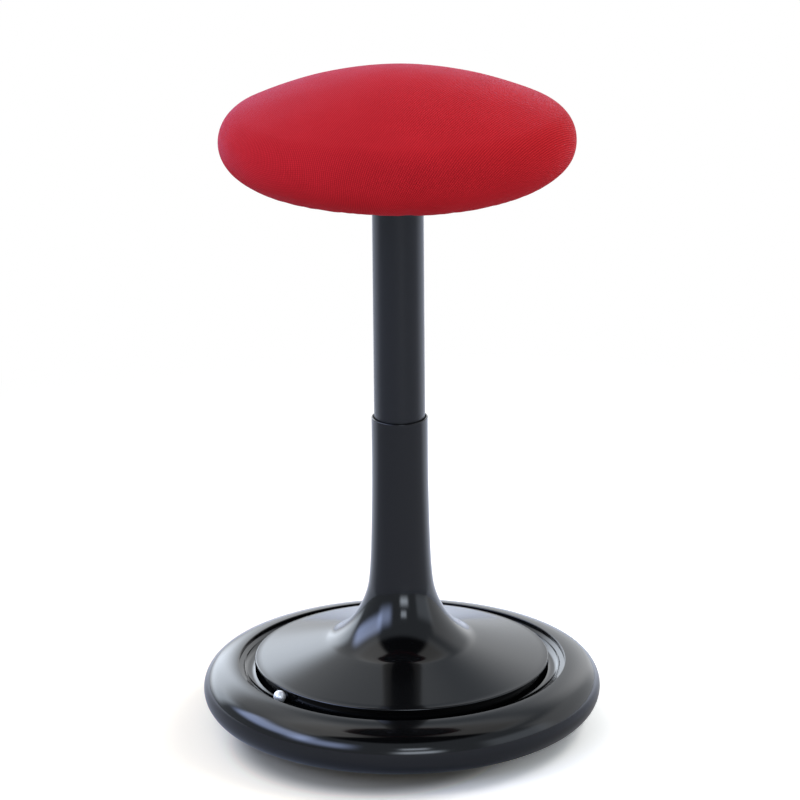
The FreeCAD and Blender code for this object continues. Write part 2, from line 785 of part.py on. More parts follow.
def lever_grip():
    """A flat paddle that widens outwards, pushed over the lever's tail."""
    z = pivot_z - lever_drop - grip_thickness / 2
    end = grip_start_y + grip_length
    half, neck = grip_width / 2, grip_neck_width / 2
    side = grip_length * grip_taper_share
    crest = end - half * grip_crest_share
    left = [(-half, crest), (-half, grip_start_y + side), (-neck, grip_start_y)]
    outline = left + [(-x, y) for x, y in left[::-1]]
    sides = Part.makePolygon([Vector(x, y, z) for x, y in outline])
    nose = Part.Arc(Vector(half, crest, z), Vector(0, end, z), Vector(-half, crest, z)).toShape()
    paddle = Part.Face(Part.Wire(sides.Edges + [nose])).extrude(UP * grip_thickness)
    paddle = round_edges(paddle, grip_edge, lambda e: abs(e.BoundBox.ZMax - e.BoundBox.ZMin) < 0.01)
    pocket_w = lever_width + 2 * press_gap
    pocket_h = lever_thickness + 2 * press_gap
    start = grip_start_y - overcut
    corner = Vector(-pocket_w / 2, start, z + (grip_thickness - pocket_h) / 2)
    pocket = Part.makeBox(pocket_w, lever_end_y + press_gap - start, pocket_h, corner)
    return one(paddle.cut(pocket))


def seat_board():
    """The round plywood board, its upper edge rounded, with the T-nuts' seats."""
    board = disc(board_radius, board_bottom, board_top)
    board = round_edges(board, board_rounding, lambda e: top_rim(e, board_top, board_radius / 2))
    cuts = pins(plate_screw_circle, nut_barrel_radius + press_gap, board_bottom, board_top)
    pilot = board_bottom + trim_screw[3] - cover_thickness - trim_thickness + loose_fit
    cuts += pins(trim_screw_circle, trim_screw[2] + press_gap, board_bottom, pilot)
    return one(board.cut(cuts))


def t_nuts():
    nuts = []
    length = nut_barrel_length + nut_flange_thickness
    for x, y in places(plate_screw_circle):
        foot = Vector(x, y, board_top - nut_barrel_length)
        flange = Part.makeCylinder(nut_flange_radius, nut_flange_thickness, Vector(x, y, board_top))
        nut = flange.fuse(Part.makeCylinder(nut_barrel_radius, nut_barrel_length, foot))
        nuts.append(nut.cut(Part.makeCylinder(plate_screw[2] + press_gap, length, foot)).removeSplitter())
    return Part.makeCompound(nuts)


def seat_foam():
    """The cushion's crowned foam, drawn in below its rim, over and round the board."""
    foam = cushion_solid(cover_thickness + press_gap)
    foam = foam.cut(seat_room())
    recess_top = board_top + nut_flange_thickness + loose_fit
    return one(foam.cut(pins(plate_screw_circle, nut_flange_radius + loose_fit, board_top, recess_top)))


def seat_room():
    """The space that the board takes out of the foam."""
    board = disc(board_radius + press_gap, board_bottom - overcut, board_top)
    return round_edges(board, board_rounding, lambda e: top_rim(e, board_top, board_radius / 2))


def seat_cover():
    """The knitted cover, drawn over the foam and folded under the board to a hem."""
    shell = cushion_solid(0.0).cut(cushion_solid(cover_thickness))
    hem_top = cushion_bottom + cover_thickness
    mouth = disc(hem_inner_radius, cushion_bottom - overcut, hem_top + overcut)
    holes = pins(trim_screw_circle, trim_screw[2] + press_gap, cushion_bottom, hem_top)
    return one(shell.cut([mouth] + holes))


def trim_ring():
    """The flat ring that hides the cover's hem around the plate."""
    ring = disc(trim_radius, trim_bottom, cushion_bottom, plate_radius + loose_fit)
    return one(ring.cut(pins(trim_screw_circle, trim_screw[2] + press_gap, trim_bottom, cushion_bottom)))


def track_ball():
    x, y = around((0.0, 0.0), track_radius, ball_azimuth)
    return Part.makeSphere(ball_radius, Vector(x, y, ball_z))


parts = {
    "rubber_sole": rubber_sole(),
    "base_pan": base_pan(),
    "ballast_plate": ballast_plate(),
    "base_ring": base_ring(),
    "column_cover": column_cover(),
    "standpipe": standpipe(),
    "bottom_plug": bottom_plug(),
    "guide_bush": guide_bush(),
    "pan_screws": screws(pan_screw, pan_screw_circle, sole_thickness + pan_screw[1], 1),
    "ring_screws": screws(ring_screw, ring_screw_circle, pad_top - ring_screw[1], 1),
    "column_screws": screws(column_screw, column_screw_circle, column_head_z, 1),
    "flange_bolts": screws(flange_bolt, flange_bolt_circle, flange_top, -1),
    "lower_race": disc(race_radius, plug_top, lower_race_top, lower_race_bore),
    "bearing_cage": bearing_cage(),
    "bearing_balls": bearing_balls(),
    "upper_race": disc(race_radius, upper_race_bottom, shoulder_z, rod_end_radius + press_gap),
    "piston_rod": piston_rod(),
    "rod_clip": rod_clip(),
    "clip_washer": clip_washer(),
    "piston": piston(),
    "bump_stop": bump_stop(),
    "gas_cylinder": gas_cylinder(),
    "cylinder_gland": cylinder_gland(),
    "valve_pin": valve_pin(),
    "upper_tube": disc(tube_radius, tube_bottom, tube_top, tube_bore),
    "tube_slider": tube_slider(),
    "tube_collar": tube_collar(),
    "seat_plate": seat_plate(),
    "plate_screws": screws(plate_screw, plate_screw_circle, plate_bottom, 1),
    "lever_pivot_pin": lever_pivot_pin(),
    "release_lever": release_lever(),
    "lever_grip": lever_grip(),
    "seat_board": seat_board(),
    "t_nuts": t_nuts(),
    "seat_foam": seat_foam(),
    "seat_cover": seat_cover(),
    "trim_ring": trim_ring(),
    "trim_screws": screws(trim_screw, trim_screw_circle, trim_bottom, 1),
    "track_ball": track_ball(),
}

os.makedirs("parts", exist_ok=True)
for name, shape in parts.items():
    shape.exportStep("parts/%s.step" % name)
    print(name, shape.isValid(), len(shape.Solids), round(shape.Volume / 1000, 2))
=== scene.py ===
import json
import math
from collections import namedtuple

import bpy
from bpy.props import FloatProperty, FloatVectorProperty, IntProperty, PointerProperty
from mathutils import Matrix, Vector, noise


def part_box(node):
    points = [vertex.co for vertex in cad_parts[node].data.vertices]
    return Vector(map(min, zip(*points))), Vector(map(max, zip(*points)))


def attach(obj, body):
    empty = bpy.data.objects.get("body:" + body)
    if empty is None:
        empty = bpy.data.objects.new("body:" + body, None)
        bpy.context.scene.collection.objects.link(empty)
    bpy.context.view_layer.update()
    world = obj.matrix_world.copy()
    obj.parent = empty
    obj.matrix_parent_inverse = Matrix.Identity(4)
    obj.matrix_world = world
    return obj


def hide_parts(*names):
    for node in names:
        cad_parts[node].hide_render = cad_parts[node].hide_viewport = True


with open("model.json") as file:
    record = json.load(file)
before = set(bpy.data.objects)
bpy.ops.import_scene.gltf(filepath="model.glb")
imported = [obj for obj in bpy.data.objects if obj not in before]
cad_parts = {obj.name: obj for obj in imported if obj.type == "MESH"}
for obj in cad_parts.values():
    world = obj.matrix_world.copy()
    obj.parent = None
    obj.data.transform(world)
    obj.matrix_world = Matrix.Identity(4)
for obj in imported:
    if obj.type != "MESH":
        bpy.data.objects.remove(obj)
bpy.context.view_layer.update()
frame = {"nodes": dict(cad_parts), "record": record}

bl_info = {
    "name": "Wobble stool",
    "version": (1, 0, 0),
    "blender": (4, 5, 0),
    "location": "3D View > Sidebar > Stool",
    "description": "A height-adjustable wobble stool with a knitted cushion and a gloss black base",
    "category": "Object",
}

MM = 0.001

# Bends of the outlines in the R-Z plane: a radius in millimetres and a turn in degrees
CROWN = (237.0, 7.9)
FLANK = (406.0, 17.0)
ROLLED_RIM = (32.2, 113.2)
UNDERSIDE = (60.0, 41.9)
LONG_BEND = (2700.0, 2.1)
SHORT_BEND = (450.0, 3.6)
FLARE_BEND = (82.0, 48.5)
FOOT_BEND = (30.0, 20.8)
ARC_STEP = 3.0              # degrees between the points of an arc
LONG_ARC_STEP = 6.0         # millimetres between the points of a wide arc

SAME_POINT = 0.0001 * MM    # no run is shorter than this
JOIN_DISTANCE = 0.002 * MM  # points of a turned piece nearer than this are one
POLE_RADIUS = 0.001 * MM    # a point this near the axis lies on it

# The cushion's sag: its side in degrees round from the right, and how far it spreads either way
SAG_SIDE = -68.0
SAG_SPREAD = 34.0

# The noise in the cushion's gathers and skin
GATHER_WANDER = 10.0        # how far the gathers stray round the rim, in radians of their wave
WANDER_SCALE = 4.0
STRENGTH_SCALE = 6.0
STRENGTH_PLACE = Vector((0.0, 0.0, 3.0))
SKIN_SCALE = 28.0

# The knit on the cloth's map: directions in degrees, sizes of the clouds in waves per metre
RIB_ANGLE = 28.0
STITCH_ANGLE = 118.0
STITCH_PITCH = 0.85         # of the ribs' pitch
FIBRE_SCALE = 1400.0
CLOUD_SCALE = 14.0
WAVE_PHASE = 20.0           # radians of the wave texture in a unit at scale 1
# Painted shade: the cloth turns mostly black in the gloss's reflections
REFLECTION_SHADE_SHARE = 0.85       # how far the red goes out of the gloss's reflections

# A painted shadow pool deepens the shadow in front of the base, and the floor clears to white just
# outside it
FLOOR_SIZE = 60.0
PAINTED_SHADOW_POOL = (-0.03, -0.06, 0.0)
PAINTED_POOL_LEVEL = 0.36
PAINTED_POOL_EDGE = (0.108, 0.145)
# Painted shade: the floor's gain is lower on the left, with less blue, than on the right
GAIN_EDGE = (-0.05, 0.20)
SHADED_LEFT_GAIN = (1.16, 1.03, 0.81)
LIT_RIGHT_GAIN = (1.55, 1.52, 1.45)
CLEAR_EDGE = (0.5, 1.2)
FAR_FLOOR_EDGE = (0.0, 0.45)

# Soft lamps for the cloth and the floor, in metres and watts
Lamp = namedtuple("Lamp", "name place energy radius")
LAMP_AIM = Vector((0.0, 0.0, 0.40))
LAMPS = (
    Lamp("side_lamp", (1.3, 0.5, 1.7), 11.5, 0.8),
    Lamp("low_lamp", (0.5, -1.6, 0.25), 2.5, 0.6),
)

# The long lens: degrees down and round, metres from the aim, millimetres of lens and film
CAMERA_PITCH = 17.7
CAMERA_ROLL = -0.5
CAMERA_DISTANCE = 3.7845
CAMERA_AIM = Vector((0.0005, 0.0, 0.323))
CAMERA_LENS = 180.0
CAMERA_FILM = 36.0
CAMERA_REACH = 100.0

# Soft panels of light: angles in degrees, azimuth from the back towards the right, level 1 is white
Panel = namedtuple("Panel", "name azimuth elevation half_width half_height blur level tint")
NEUTRAL = (1.0, 1.0, 1.0)
COOL = (0.90, 1.0, 1.13)
SKY = (0.80, 0.99, 1.58)
PANELS = (
    Panel("walls", 0.0, 8.0, 200.0, 48.0, 4.0, 0.42, COOL),
    Panel("ceiling", -5.0, 66.0, 108.0, 14.0, 8.0, 0.72, NEUTRAL),
    Panel("left_ceiling", -62.0, 55.0, 50.0, 22.0, 8.0, 0.55, NEUTRAL),
    Panel("left_window", -90.0, 33.0, 30.0, 10.0, 6.5, 4.0, SKY),
    Panel("front_left_window", -130.0, 27.0, 18.0, 10.0, 9.0, 3.6, SKY),
    Panel("back_window", -31.0, 18.0, 21.0, 13.0, 6.5, 2.8, COOL),
    Panel("backdrop", -5.0, 8.0, 34.0, 25.0, 10.0, 0.75, NEUTRAL),
    Panel("right_wall", 54.0, 15.0, 39.0, 26.0, 8.0, 0.65, NEUTRAL),
    Panel("right_window", 110.0, 14.0, 21.0, 14.0, 7.0, 0.80, COOL),
    Panel("front_lamp", 171.0, 10.0, 12.0, 4.5, 6.0, 6.0, COOL),
    Panel("door_lamp", 173.0, 27.0, 8.0, 4.0, 3.0, 4.5, COOL),
)


def length(label, words, millimetres):
    return FloatProperty(name=label, description=words, default=millimetres * MM, unit="LENGTH")


def slope(label, words, degrees):
    return FloatProperty(name=label, description=words, default=math.radians(degrees), subtype="ANGLE")


def colour(label, words, value):
    return FloatVectorProperty(
        name=label, description=words, subtype="COLOR", size=3, min=0.0, default=value)


class StoolSizes(bpy.types.PropertyGroup):
    """Sizes of the dressed pieces. What a size fits to comes from the frame."""

    spin_steps: IntProperty(
        name="Steps round", description="Faces round a turned piece", default=192, min=48)
    cushion_steps: IntProperty(
        name="Cushion steps", description="Faces round the cushion", default=224, min=48)
    base_steps: IntProperty(
        name="Base steps", description="Faces round the column and the ring", default=256, min=48)
    edge: length("Edge rounding", "Rounding of small turned edges", 0.4)

    hem_radius: length("Hem radius", "Inner edge of the cover under the seat", 92.0)
    cover_thickness: length("Cover thickness", "Thickness of the knitted cover", 1.2)
    underside_start: length(
        "Underside start", "Way along the cloth from the crown to its black underside", 252.0)
    sag: length("Sag", "How far the cover hangs lower at the front right", 1.4)
    unevenness: length("Unevenness", "Rise and fall of the cushion's skin", 0.3)
    pucker_depth: length("Pucker depth", "Depth of the gathers under the cushion's rim", 0.9)
    pucker_drop: length("Pucker drop", "Depth below the crown where the gathers begin", 65.0)
    pucker_count: IntProperty(name="Puckers", description="Gathers round the underside", default=58)
    knit_pitch: length("Knit pitch", "Distance between the knit's ribs", 2.1)
    knit_relief: length("Knit relief", "Height of the knit's ribs", 0.35)

    tube_wall: length("Tube wall", "Wall of the upper tube", 2.0)
    column_wall: length("Column wall", "Wall of the column and dome", 1.6)
    neck_radius: length("Neck radius", "Outside of the column's straight neck", 26.75)
    neck_height: length("Neck height", "Straight part of the column under its rim", 34.0)
    rim_rounding: length("Rim rounding", "Rounding of the column's upper rim", 0.7)
    dome_edge_z: length("Dome edge", "Height of the dome's edge over the floor", 65.5)
    dome_edge_rounding: length("Dome edge rounding", "Rounding of the dome's edge", 1.35)
    skirt_radius: length("Skirt radius", "Outside of the skirt under the dome's edge", 137.4)
    skirt_wall: length("Skirt wall", "Wall of the skirt", 2.2)
    skirt_depth: length("Skirt depth", "Depth of the skirt under the dome's edge", 12.0)

    ring_wall: length("Ring wall", "Wall of the base ring", 3.0)
    ring_foot_radius: length("Ring foot radius", "Inner edge of the ring's foot", 165.0)
    nose_radius: length("Nose radius", "Rounding of the ring's outer side", 22.0)
    nose_centre_r: length("Nose place", "Centre of that rounding from the axis", 169.4)
    nose_centre_z: length("Nose height", "Centre of that rounding over the floor", 35.7)
    shoulder_slope: slope("Shoulder slope", "Slope where the ring's top leaves its nose", 24.2)
    lip_slope: slope("Lip slope", "Slope of the ring's top at its lip", 5.0)
    lip_radius: length("Lip radius", "Start of the lip's rounding from the axis", 158.2)
    lip_rounding: length("Lip rounding", "Rounding of the ring's inner lip", 0.8)
    track_radius: length("Track radius", "Middle of the ball's channel from the axis", 145.5)
    track_z: length("Track height", "Centre of the channel's section over the floor", 61.0)
    track_section: length("Track section", "Radius of the channel's section", 9.0)
    track_inner_r: length("Track inner edge", "Where the channel ends under the dome", 141.4)
    shelf_slope: slope("Shelf slope", "Where round its section the channel begins", 35.0)
    shelf_drop: length("Shelf drop", "Depth of the lip's wall under the channel's centre", 3.6)


class StoolColours(bpy.types.PropertyGroup):
    """Colours of the finishes, in linear light."""

    knit: colour("Knit", "Yarn of the cover", (0.62, 0.020, 0.027))
    knit_shadow: colour("Knit shadow", "Between the yarns", (0.27, 0.005, 0.007))
    knit_sheen: colour("Knit sheen", "Soft light on the yarn's fibres", (0.85, 0.80, 0.90))
    # Painted light: a bluish sheen on the side of the cushion that faces the window
    window_sheen: colour(
        "Window sheen", "Bluish light on the fibres towards the window", (0.95, 1.20, 2.2))
    gloss: colour("Gloss black", "Column, dome and ring", (0.002, 0.002, 0.002))
    satin: colour("Satin black", "Powder coat of the tube", (0.004, 0.004, 0.0045))
    nylon: colour("Black nylon", "Plain moulded parts", (0.022, 0.022, 0.024))
    rubber: colour("Rubber", "Sole and bump stop", (0.020, 0.020, 0.021))
    steel: colour("Zinc steel", "Screws, pins and bearing", (0.62, 0.62, 0.64))
    chrome: colour("Chrome", "Ball and rod", (0.93, 0.93, 0.93))
    # The black cloth under the seat, and also the painted shade of the cloth in the gloss's reflections
    underside_and_reflection_shade: colour("Underside", "Black cloth under the seat", (0.010, 0.010, 0.011))
    plywood: colour("Plywood", "Seat board", (0.62, 0.44, 0.26))
    cast: colour("Cast ballast", "Ballast plate", (0.09, 0.09, 0.10))
    foam: colour("Foam", "Padding of the seat", (0.72, 0.69, 0.55))
    # Painted shade: the floor that the gloss and the cloth see is darker under and before the stool,
    # paler behind
    shaded_near_floor: colour("Near floor", "Floor under and before the stool", (0.45, 0.45, 0.46))
    lit_far_floor: colour("Far floor", "Floor behind the stool", (0.95, 0.95, 0.95))


def sizes():
    return bpy.context.scene.stool_sizes


def colours():
    return bpy.context.scene.stool_colours


class Outline:
    """Points of straight runs and tangent arcs in the R-Z plane, in metres, with headings in degrees."""

    def __init__(self, r, z, heading=0.0):
        self.points = [(r, z)]
        self.heading = heading

    @property
    def end(self):
        return self.points[-1]

    def to(self, r, z):
        if math.dist(self.end, (r, z)) > SAME_POINT:
            self.heading = math.degrees(math.atan2(z - self.end[1], r - self.end[0]))
            self.points.append((r, z))
        return self

    def face(self, heading):
        self.heading = heading
        return self

    def run(self, distance):
        return self.to(*away(self.end, distance, self.heading))

    def turn(self, radius, angle):
        """Turns left through a positive angle and right through a negative one."""
        side = self.heading + math.copysign(90.0, angle)
        centre = away(self.end, radius, side)
        way = radius * math.radians(abs(angle))
        count = max(2, math.ceil(abs(angle) / ARC_STEP), math.ceil(way / (LONG_ARC_STEP * MM)))
        for k in range(1, count + 1):
            self.points.append(away(centre, radius, side + 180.0 + angle * k / count))
        self.heading += angle
        return self


def away(point, distance, heading):
    a = math.radians(heading)
    return point[0] + distance * math.cos(a), point[1] + distance * math.sin(a)


def tangent_arc(start, heading, end):
    """Radius and turn of the arc from a start and heading to an end."""
    half = math.degrees(math.atan2(end[1] - start[1], end[0] - start[0])) - heading
    return math.dist(start, end) / (2 * abs(math.sin(math.radians(half)))), 2 * half


def deselect():
    if bpy.context.object and bpy.context.object.mode != "OBJECT":
        bpy.ops.object.mode_set(mode="OBJECT")
    bpy.ops.object.select_all(action="DESELECT")


def draw_line(name, points):
    """Starts a mesh from one vertex and extrudes it from point to point. Leaves edit mode on."""
    deselect()
    bpy.ops.mesh.primitive_plane_add(size=MM, location=(0, 0, 0))
    piece = bpy.context.object
    piece.name = name
    piece.data.name = name
    bpy.ops.object.mode_set(mode="EDIT")
    bpy.ops.mesh.select_all(action="SELECT")
    bpy.ops.mesh.merge(type="CENTER")
    bpy.ops.transform.translate(value=points[0])
    for before, after in zip(points, points[1:]):
        bpy.ops.mesh.extrude_region_move(TRANSFORM_OT_translate={"value": Vector(after) - Vector(before)})
    return piece


def turned(name, outline, steps):
    """Spins an outline round the stool's axis into a closed shell."""
    piece = draw_line(name, [Vector((r, 0.0, z)) for r, z in outline.points])
    bpy.ops.mesh.select_all(action="SELECT")
    bpy.ops.mesh.spin(steps=steps, angle=math.tau, center=(0, 0, 0), axis=(0, 0, 1))
    bpy.ops.mesh.select_all(action="SELECT")
    bpy.ops.mesh.remove_doubles(threshold=JOIN_DISTANCE)
    bpy.ops.mesh.normals_make_consistent(inside=False)
    bpy.ops.object.mode_set(mode="OBJECT")
    smooth(piece)
    return piece


def smooth(piece, angle=28.0):
    piece.select_set(True)
    bpy.context.view_layer.objects.active = piece
    bpy.ops.object.shade_smooth_by_angle(angle=math.radians(angle))


def dress(piece, finish, body, slot, *nodes):
    """Gives a piece its finish and its body, and hides the nodes that it stands for. The slot is not
    used.
    """
    piece.data.materials.clear()
    piece.data.materials.append(bpy.data.materials["stool_" + finish])
    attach(piece, body)
    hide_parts(*nodes)


class Nodes:
    """A node tree under construction."""

    def __init__(self, tree):
        self.tree = tree

    def add(self, kind, settings=None, **inputs):
        """Adds a node. An input is named by its label, or by its number as i0, i1 and so on."""
        node = self.tree.nodes.new("ShaderNode" + kind)
        for key, value in (settings or {}).items():
            setattr(node, key, value)
        for key, value in inputs.items():
            label = int(key[1:]) if key[1:].isdigit() else key.replace("_", " ")
            self.plug(node.inputs[label], value)
        return node

    def plug(self, socket, value):
        if isinstance(value, bpy.types.NodeSocket):
            self.tree.links.new(value, socket)
        else:
            socket.default_value = value

    def math(self, operation, *values):
        inputs = {"i%d" % k: value for k, value in enumerate(values)}
        return self.add("Math", {"operation": operation}, **inputs).outputs[0]

    def noise(self, vector, scale, detail):
        return self.add("TexNoise", Vector=vector, Scale=scale, Detail=detail).outputs["Fac"]

    def spread(self, value, low, high, start=0.0, end=1.0):
        """Maps start..end to low..high, smoothly and no further."""
        settings = {"interpolation_type": "SMOOTHSTEP"}
        return self.add("MapRange", settings, Value=value, i1=start, i2=end, i3=low, i4=high).outputs[0]

    def blend(self, share, a, b):
        node = self.add("Mix", {"data_type": "RGBA"}, i0=share)
        self.plug(node.inputs[6], (*a, 1.0) if isinstance(a, tuple) else a)
        self.plug(node.inputs[7], (*b, 1.0) if isinstance(b, tuple) else b)
        return node.outputs[2]


class Finish(Nodes):
    """A node material under construction."""

    def __init__(self, name):
        self.material = bpy.data.materials.new("stool_" + name)
        self.material.use_nodes = True
        super().__init__(self.material.node_tree)
        self.shader = self.tree.nodes["Principled BSDF"]

    def set(self, **inputs):
        for key, value in inputs.items():
            self.plug(self.shader.inputs[key.replace("_", " ")], value)

    def place(self):
        return self.add("TexCoord").outputs["Object"]

    def bump(self, height, depth, strength=1.0):
        node = self.add("Bump", Height=height, Distance=depth, Strength=strength)
        self.plug(self.shader.inputs["Normal"], node.outputs[0])


def shade(tint, share):
    return tuple(channel * share for channel in tint)


def knit_ribs(f, cloth, angle, pitch):
    """Parallel ribs of the knit, from 0 in the grooves to 1 on the ribs."""
    place = f.add("Mapping", Vector=cloth, Rotation=(0.0, 0.0, math.radians(angle))).outputs[0]
    wave = f.add("TexWave", {"bands_direction": "X"}, Vector=place, Distortion=0.7, Detail=1.0)
    f.plug(wave.inputs["Scale"], math.tau / (WAVE_PHASE * pitch))
    f.plug(wave.inputs["Detail Scale"], 2.0)
    return wave.outputs["Fac"]


def knit_finish():
    """Fine diagonal ribs crossed by stitches, on the cloth's own UV map, in metres."""
    f = Finish("red_knit")
    c = colours()
    pitch = sizes().knit_pitch
    cloth = f.add("UVMap", {"uv_map": "cloth"}).outputs[0]
    ribs = knit_ribs(f, cloth, RIB_ANGLE, pitch)
    crossing = knit_ribs(f, cloth, STITCH_ANGLE, pitch * STITCH_PITCH)
    stitch = f.math("MULTIPLY", ribs, f.spread(crossing, 0.45, 1.0))
    fibre = f.noise(cloth, FIBRE_SCALE, 3.0)
    height = f.math("ADD", stitch, f.math("MULTIPLY", fibre, 0.5))
    cloud = f.noise(cloth, CLOUD_SCALE, 3.0)
    tone = f.math("ADD", f.math("MULTIPLY", height, 0.62), f.math("MULTIPLY", cloud, 0.22))
    base = f.blend(f.spread(tone, 0.12, 1.0), tuple(c.knit_shadow), tuple(c.knit))
    along = f.add("VectorMath", {"operation": "LENGTH"}, i0=cloth).outputs["Value"]
    is_under = f.math("GREATER_THAN", along, sizes().underside_start)
    base = f.blend(is_under, base, tuple(c.underside_and_reflection_shade))
    # Painted shade: in the gloss's reflections the cloth is painted mostly the underside's black
    shade_in_gloss = f.math("MULTIPLY", f.add("LightPath").outputs["Is Glossy Ray"], REFLECTION_SHADE_SHARE)
    base = f.blend(shade_in_gloss, base, tuple(c.underside_and_reflection_shade))
    # Painted light: the sheen's tint turns bluish on cloth that faces left, towards the window
    normal = f.add("NewGeometry").outputs["Normal"]
    towards_right, _, upward = f.add("SeparateXYZ", Vector=normal).outputs
    facing = f.spread(towards_right, 0.0, 1.0, -0.8, 0.5)
    sheen = f.blend(facing, tuple(c.window_sheen), tuple(c.knit_sheen))
    f.set(Base_Color=base, Roughness=0.9, Specular_IOR_Level=0.04)
    f.set(Sheen_Tint=sheen, Sheen_Roughness=0.25)
    # Painted shade: the sheen fades on cloth that faces down
    f.set(Sheen_Weight=f.spread(upward, 0.01, 0.145, -0.55, 0.2))
    f.bump(height, sizes().knit_relief, 0.6)


def coated(name, tint, rough, grain, depth, uneven=0.03, **more):
    """A coated or moulded surface: a slight cloud, fine grain of a depth, and uneven gloss."""
    f = Finish(name)
    place = f.place()
    cloud = f.noise(place, 9.0, 3.0)
    f.set(Base_Color=f.blend(cloud, shade(tint, 0.85), shade(tint, 1.15)))
    f.set(Roughness=f.spread(cloud, rough - uneven, rough + uneven), **more)
    f.bump(f.noise(place, grain, 2.0), depth)


def board_finish():
    """Plywood with its grain drawn out along one side."""
    f = Finish("plywood")
    c = tuple(colours().plywood)
    place = f.add("Mapping", Vector=f.place(), Scale=(1.0, 9.0, 1.0)).outputs[0]
    grain = f.noise(place, 30.0, 6.0)
    f.set(Base_Color=f.blend(grain, shade(c, 0.6), c), Roughness=0.7)
    f.bump(grain, 0.1 * MM)


def make_finishes():
    c = colours()
    knit_finish()
    board_finish()
    coated("gloss_black", c.gloss, rough=0.11, grain=60.0, depth=0.002 * MM, uneven=0.01)
    coated("satin_black_tube", c.satin, rough=0.30, grain=2600.0, depth=0.006 * MM)
    coated("black_nylon", c.nylon, rough=0.48, grain=1800.0, depth=0.03 * MM)
    coated("black_board", c.nylon, rough=0.75, grain=700.0, depth=0.05 * MM)
    coated("black_steel", c.satin, rough=0.36, grain=900.0, depth=0.02 * MM)
    coated("black_rubber", c.rubber, rough=0.80, grain=1200.0, depth=0.05 * MM)
    coated("cast_ballast", c.cast, rough=0.75, grain=400.0, depth=0.2 * MM)
    coated("foam", c.foam, rough=0.95, grain=900.0, depth=0.3 * MM)
    coated("zinc_steel", c.steel, rough=0.30, grain=600.0, depth=0.01 * MM, Metallic=1.0)
    coated("chrome_steel", c.chrome, rough=0.38, grain=300.0, depth=0.002 * MM, uneven=0.02, Metallic=0.6)


def cushion_outline():
    """From the crown's middle over the rolled rim to the hem, closed over the seat board."""
    size = sizes()
    line = Outline(0.0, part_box("seat_cover")[1].z)
    for radius, angle in (CROWN, FLANK, ROLLED_RIM, UNDERSIDE):
        line.turn(radius * MM, -angle)
    low = line.end[1]
    line.to(size.hem_radius, low).to(size.hem_radius, low + size.cover_thickness)
    return line.to(0.0, low + size.cover_thickness)


def lay_cloth_map(piece, outline):
    """A UV map in metres: the cloth laid flat from the crown outwards, as it was stretched on."""
    run = [0.0]
    for before, after in zip(outline.points, outline.points[1:]):
        run.append(run[-1] + math.dist(before, after))
    along = {(round(r, 6), round(z, 6)): s for (r, z), s in zip(outline.points, run)}
    layer = piece.data.uv_layers.new(name="cloth")
    places = []
    for vertex in piece.data.vertices:
        r = math.hypot(vertex.co.x, vertex.co.y)
        s = along.get((round(r, 6), round(vertex.co.z, 6)))
        if s is None:
            s = min(zip(outline.points, run), key=lambda pair: math.dist(pair[0], (r, vertex.co.z)))[1]
        at_pole = r < POLE_RADIUS
        places.append((0.0, 0.0) if at_pole else (s * vertex.co.x / r, s * vertex.co.y / r))
    for loop in piece.data.loops:
        layer.data[loop.index].uv = places[loop.vertex_index]


def gather_underside(piece):
    """Puckers where the cover is drawn in under the rim, a sag, and a faint unevenness."""
    size = sizes()
    low, high = (corner.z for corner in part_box("seat_cover"))
    gather_z = high - size.pucker_drop
    flat_z = low + 0.1 * MM
    for vertex in piece.data.vertices:
        co = vertex.co
        if math.hypot(co.x, co.y) < POLE_RADIUS or co.z < flat_z:
            continue
        angle = math.atan2(co.y, co.x)
        round_the_rim = Vector((math.cos(angle), math.sin(angle), 0.0))
        under = min(1.0, max(0.0, (gather_z - co.z) / (gather_z - low)))
        wander = GATHER_WANDER * noise.noise(round_the_rim * WANDER_SCALE)
        fold = 0.5 + 0.5 * math.cos(size.pucker_count * angle + wander)
        strength = max(0.0, 0.5 + noise.noise((round_the_rim + STRENGTH_PLACE) * STRENGTH_SCALE))
        pucker = size.pucker_depth * under**4 * strength * fold
        off_side = (math.degrees(angle) - SAG_SIDE) / SAG_SPREAD
        sag = size.sag * under * math.exp(-(off_side**2))
        uneven = size.unevenness * noise.noise(co * SKIN_SCALE)
        vertex.co = co + vertex.normal * (uneven + sag - pucker)
    piece.data.update()


class STOOL_OT_finishes(bpy.types.Operator):
    """Make the materials and give them to the construction pieces"""

    bl_idname = "stool.finishes"
    bl_label = "Finishes"

    def execute(self, context):
        make_finishes()
        slots = {part["node"]: part["material_slot"] for part in frame["record"]["subparts"]}
        for name, node in frame["nodes"].items():
            node.data.materials.clear()
            node.data.materials.append(bpy.data.materials["stool_" + slots[name]])
        return {"FINISHED"}


class STOOL_OT_cushion(bpy.types.Operator):
    """Make the crowned cushion in its knitted cover"""

    bl_idname = "stool.cushion"
    bl_label = "Cushion"

    def execute(self, context):
        outline = cushion_outline()
        piece = turned("cushion", outline, sizes().cushion_steps)
        lay_cloth_map(piece, outline)
        gather_underside(piece)
        dress(piece, "red_knit", "seat", "red_knit", "seat_cover", "seat_foam")
        return {"FINISHED"}


def pipe_outline(node, outer, inner, edge):
    """A plain tube's closed section, with small rounded edges, at the height of a node."""
    low, high = (corner.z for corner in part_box(node))
    line = Outline(inner, low + edge, -90.0).turn(edge, 90.0).to(outer - edge, low).face(0.0)
    line.turn(edge, 90.0).to(outer, high - edge).face(90.0).turn(edge, 90.0)
    line.to(inner + edge, high).face(180.0).turn(edge, 90.0)
    return line.to(inner, low + edge)


class STOOL_OT_tube(bpy.types.Operator):
    """Make the satin black upper tube"""

    bl_idname = "stool.tube"
    bl_label = "Upper tube"

    def execute(self, context):
        size = sizes()
        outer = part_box("upper_tube")[1].x
        outline = pipe_outline("upper_tube", outer, outer - size.tube_wall, size.edge)
        piece = turned("tube", outline, size.spin_steps)
        dress(piece, "satin_black_tube", "seat", "satin_black_tube", "upper_tube")
        return {"FINISHED"}


